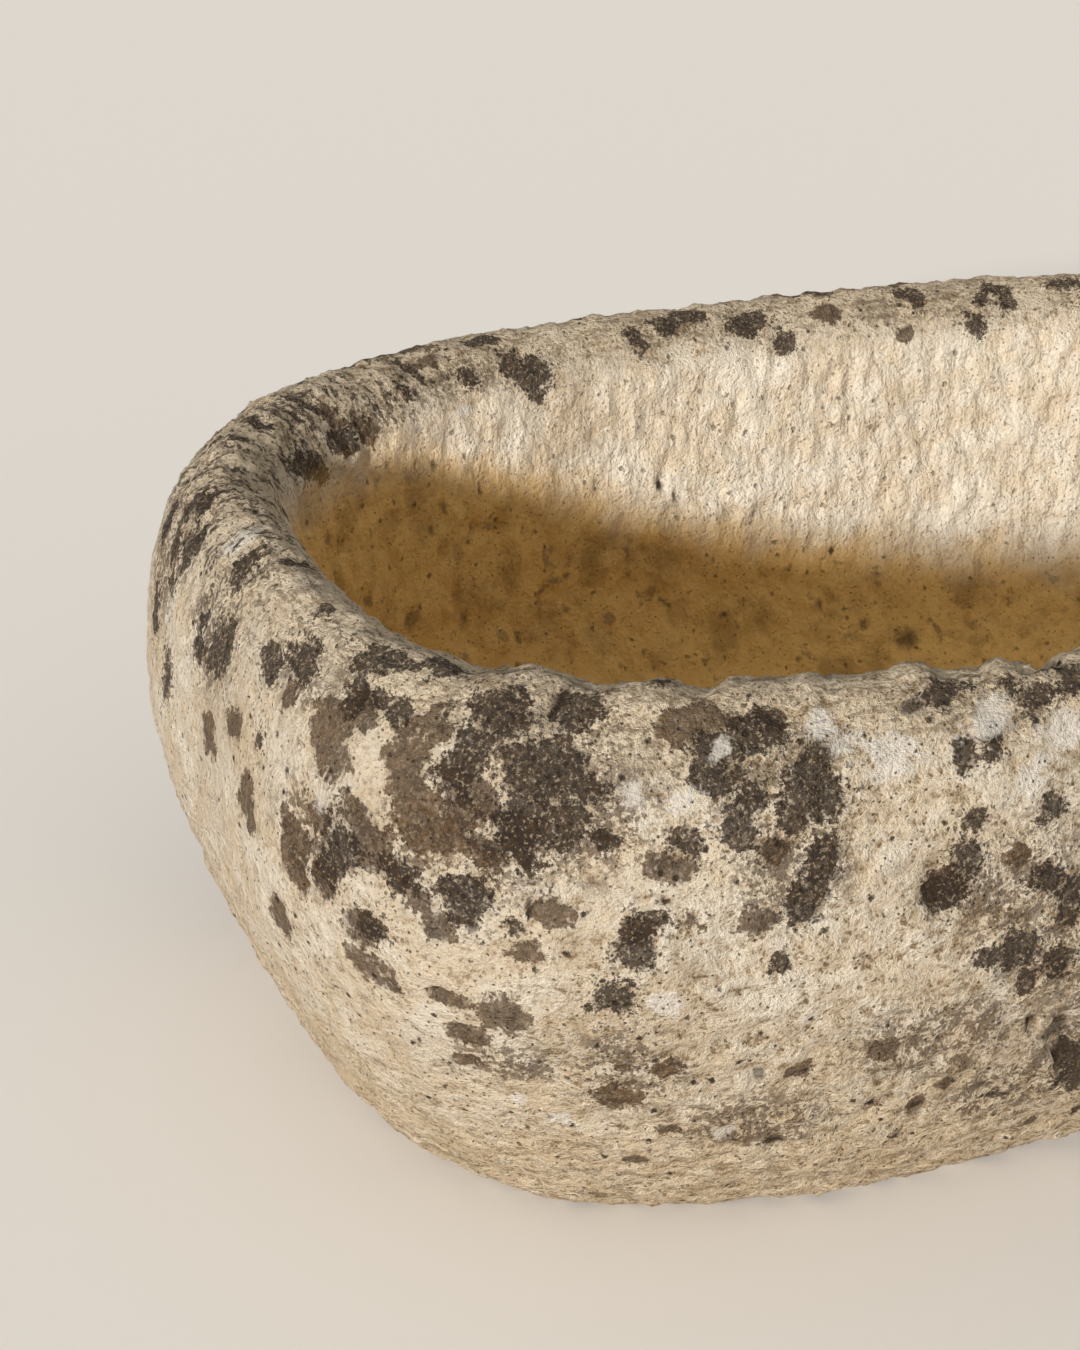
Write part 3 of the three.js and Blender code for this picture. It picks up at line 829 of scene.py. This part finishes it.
def bung_outline():
    """The turned outline as (radius, height), from the middle of the lower end to that of the top."""
    foot, top = bung_low.z, bung_high.z
    shoulder = FLOOR_THICKNESS + BUNG_SHOULDER_HEIGHT
    neck = shoulder + BUNG_NECK_HEIGHT
    line = [(0, foot)]
    low = drain_radius(foot) - BUNG_SEAT_GAP
    line += [((low - BUNG_CHAMFER) * share, foot) for share in (0.4, 0.8, 1)]
    for share in np.linspace(0, 1, 16):
        height = between(foot + BUNG_CHAMFER, shoulder - BUNG_CHAMFER, share)
        line.append((drain_radius(height) - BUNG_SEAT_GAP, height))
    shoulder_radius = drain_radius(shoulder) - BUNG_SEAT_GAP
    for share in np.linspace(0, 1, 14):
        swing = share * math.pi / 2
        radius = between(BUNG_NECK_RADIUS, shoulder_radius, 1 - math.sin(swing))
        line.append((radius, between(shoulder, neck, 1 - math.cos(swing))))
    for share in np.linspace(0.08, 1, 12):
        swing = share * math.pi / 2
        radius = between(BUNG_NECK_RADIUS, BUNG_HEAD_RADIUS, math.sin(swing))
        line.append((radius, between(neck, neck + BUNG_HEAD_ROUNDING, 1 - math.cos(swing))))
    for share in np.linspace(0.1, 1, 5):
        line.append((BUNG_HEAD_RADIUS, between(neck + BUNG_HEAD_ROUNDING, top - BUNG_HEAD_ROUNDING, share)))
    for share in np.linspace(0.1, 1, 10):
        swing = share * math.pi / 2
        radius = BUNG_HEAD_RADIUS - BUNG_HEAD_ROUNDING * (1 - math.cos(swing))
        line.append((radius, top - BUNG_HEAD_ROUNDING * (1 - math.sin(swing))))
    flat = BUNG_HEAD_RADIUS - BUNG_HEAD_ROUNDING
    line += [(flat * share, top - BUNG_DISH * (1 - share ** 2)) for share in (0.85, 0.6, 0.3, 0)]
    return line


def turned(name, outline, sides):
    """A solid turned round the upright axis, closed at both ends."""
    points, faces = [], []
    for number, (radius, height) in enumerate(outline[1:-1]):
        ripple = 1 - LATHE_RIPPLE / radius * (number % 2)
        for side in range(sides):
            angle = 2 * math.pi * side / sides
            points.append((radius * ripple * math.cos(angle), radius * ripple * math.sin(angle), height))
    lower, upper = len(points), len(points) + 1
    points += [(0, 0, outline[0][1]), (0, 0, outline[-1][1])]
    last = (len(outline) - 3) * sides
    for side in range(sides):
        after = (side + 1) % sides
        faces.append((lower, after, side))
        faces += [(ring + side, ring + after, ring + sides + after, ring + sides + side)
                  for ring in range(0, last, sides)]
        faces.append((upper, last + side, last + after))
    mesh = bpy.data.meshes.new(name)
    mesh.from_pydata(points, [], faces)
    mesh.shade_smooth()
    made = bpy.data.objects.new(name, mesh)
    bpy.context.scene.collection.objects.link(made)
    return made


oak = bpy.data.materials.new("damp_oak")
oak.use_nodes = True
wood = oak.node_tree
place = node(wood, "ShaderNodeTexCoord", out="Object")
streaks = noise(wood, stretched(wood, place, 1.0, 1.0, 0.06), 900.0, 4.0, 0.6)
rings = node(wood, "ShaderNodeTexWave", {"wave_type": "RINGS", "rings_direction": "Z"}, {
    "Vector": stretched(wood, place, 1.0, 1.0, 0.03), "Scale": 95.0, "Distortion": 2.2, "Detail": 3.0,
    "Detail Scale": 1.5,
}, "Fac")
pores = ramp(noise(wood, stretched(wood, place, 1.0, 1.0, 0.05), 2600.0, 2.0), 0.34, 0.46, 1.0, 0.0)
stain = noise(wood, place, 70.0, 3.0)

grain = blended(wood, streaks * 0.55 + rings * 0.45, (0.085, 0.045, 0.022, 1), (0.32, 0.20, 0.105, 1))
grain = blended(wood, pores * 0.7, grain, (0.035, 0.02, 0.012, 1))
grain = blended(wood, ramp(stain, 0.48, 0.64) * 0.65, grain, (0.10, 0.085, 0.062, 1))
finish = wood.nodes["Principled BSDF"]
feed(grain, finish.inputs["Base Color"])
feed(between(0.62, 0.86, streaks), finish.inputs["Roughness"])
bump = wood.nodes.new("ShaderNodeBump")
bump.inputs["Strength"].default_value = 0.6
bump.inputs["Distance"].default_value = 0.0004
feed(streaks * 0.5 + rings * 0.2 - pores * 0.5, bump.inputs["Height"])
feed(Wire(wood, bump.outputs[0]), finish.inputs["Normal"])

bung = turned("turned_bung", bung_outline(), BUNG_SIDES)
bung.data.materials.append(oak)
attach(bung, "bung")
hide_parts("drain_bung")


# Floor and light: a plain pale floor, a low sun of soft light from the front left, and an even sky. The
# floor looks paler to the camera than to the stone above it, and keeps the trough's shadow.
FLOOR_RADIUS = 14
FLOOR_SIDES = 64
FLOOR_GAP = 0.0004
floor_mesh = bpy.data.meshes.new("studio_floor")
turns = np.linspace(0, 2 * math.pi, FLOOR_SIDES + 1)[:-1]
edge = [(FLOOR_RADIUS * math.cos(turn), FLOOR_RADIUS * math.sin(turn), -FLOOR_GAP) for turn in turns]
floor_mesh.from_pydata(edge, [], [list(range(FLOOR_SIDES))])
studio_floor = bpy.data.objects.new("studio_floor", floor_mesh)
bpy.context.scene.collection.objects.link(studio_floor)
paper = bpy.data.materials.new("pale_floor")
paper.use_nodes = True
sheet = paper.node_tree
board = sheet.nodes["Principled BSDF"]
board.inputs["Roughness"].default_value = 0.9


def looked_at(tree):
    """1 for what the camera sees, straight or in or through something, and 0 for what lights the rest."""
    path = tree.nodes.new("ShaderNodeLightPath")
    seen = [Wire(tree, path.outputs[f"Is {kind} Ray"]) for kind in ("Camera", "Glossy", "Transmission")]
    return seen[0] + seen[1] + seen[2]


PALE_PAPER = (0.82, 0.80, 0.77, 1)
WARM_FLOOR = (0.34, 0.25, 0.15, 1)
LIT_PAPER = (0.715, 0.680, 0.626, 1)
seen = looked_at(sheet)
feed(blended(sheet, seen, WARM_FLOOR, PALE_PAPER), board.inputs["Base Color"])
floor_mesh.materials.append(paper)
studio_floor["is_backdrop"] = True

sky = bpy.data.worlds.new("even_sky")
sky.use_nodes = True
air = sky.node_tree
seen = looked_at(air)
SOFT_DAYLIGHT = (1.0, 0.955, 0.885, 1)
feed(blended(air, seen, SOFT_DAYLIGHT, LIT_PAPER), air.nodes["Background"].inputs["Color"])
feed(seen * 0.5 + 0.5, air.nodes["Background"].inputs["Strength"])
bpy.context.scene.world = sky

SUN_TURN = math.radians(47)
SUN_RISE = math.radians(16)
SUN_BREADTH = math.radians(5)
SUN_STRENGTH = 4.2
SUN_TINT = (1.0, 0.965, 0.92)
sun_data = bpy.data.lights.new("window_sun", "SUN")
sun_data.angle = SUN_BREADTH
sun_data.energy = SUN_STRENGTH
sun_data.color = SUN_TINT
sun = bpy.data.objects.new("window_sun", sun_data)
level = math.cos(SUN_RISE)
from_sun = Vector((math.sin(SUN_TURN) * level, math.cos(SUN_TURN) * level, -math.sin(SUN_RISE)))
sun.rotation_mode = "QUATERNION"
sun.rotation_quaternion = from_sun.to_track_quat("-Z", "Y")
bpy.context.scene.collection.objects.link(sun)

bpy.context.scene.view_settings.view_transform = "Standard"

low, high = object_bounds()
